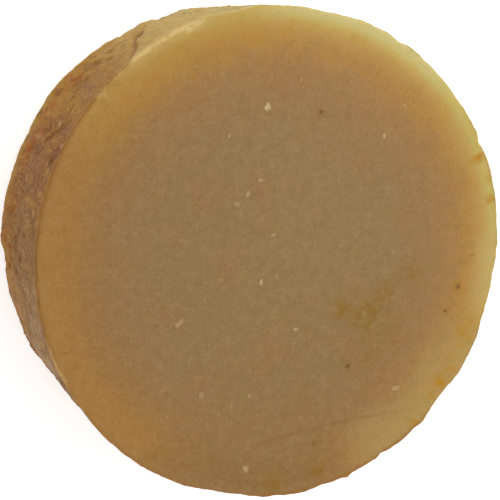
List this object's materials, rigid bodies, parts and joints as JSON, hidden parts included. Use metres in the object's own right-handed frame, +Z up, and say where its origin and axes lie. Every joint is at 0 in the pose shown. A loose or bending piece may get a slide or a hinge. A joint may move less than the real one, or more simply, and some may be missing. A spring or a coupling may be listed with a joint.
{
  "type": "shaving soap puck",
  "caption": "Round puck of shaving soap, a knife-cut disc of olive-tan soap with a rough moulded wall and small pale and brown grains set in it.",
  "frame": {"origin": "middle of the face that the puck rests on", "axes": "+Z up along the puck's axis, out of the upper cut face; +X and +Y lie in the cut faces, and the wall grains are on the wall between -X and +Y"},
  "size_m": [0.0767, 0.0767, 0.0254],
  "materials": {
    "soap": "satin olive-tan hard soap that light passes into, glowing amber and yellow towards the rim; faint knife drag on the cut faces, rough mottled skin with pale ash on the wall",
    "pale_grain": "matt chalky cream crumb",
    "brown_grain": "matt reddish brown speck"
  },
  "bodies": {
    "root": {"soap_body": "soap", "pale_face_grain_01": "pale_grain", "pale_face_grain_02": "pale_grain", "pale_face_grain_03": "pale_grain", "pale_face_grain_04": "pale_grain", "pale_face_grain_05": "pale_grain", "pale_face_grain_06": "pale_grain", "pale_face_grain_07": "pale_grain", "pale_face_grain_08": "pale_grain", "pale_face_grain_09": "pale_grain", "pale_face_grain_10": "pale_grain", "pale_face_grain_11": "pale_grain", "pale_face_grain_12": "pale_grain", "pale_face_grain_13": "pale_grain", "pale_face_grain_14": "pale_grain", "pale_face_grain_15": "pale_grain", "pale_face_grain_16": "pale_grain", "pale_face_grain_17": "pale_grain", "pale_face_grain_18": "pale_grain", "pale_face_grain_19": "pale_grain", "pale_face_grain_20": "pale_grain", "pale_wall_grain_01": "pale_grain", "pale_wall_grain_02": "pale_grain", "pale_wall_grain_03": "pale_grain", "pale_wall_grain_04": "pale_grain", "brown_face_grain_01": "brown_grain", "brown_face_grain_02": "brown_grain", "brown_face_grain_03": "brown_grain", "brown_face_grain_04": "brown_grain", "brown_face_grain_05": "brown_grain", "brown_face_grain_06": "brown_grain"}
  },
  "joints": []
}
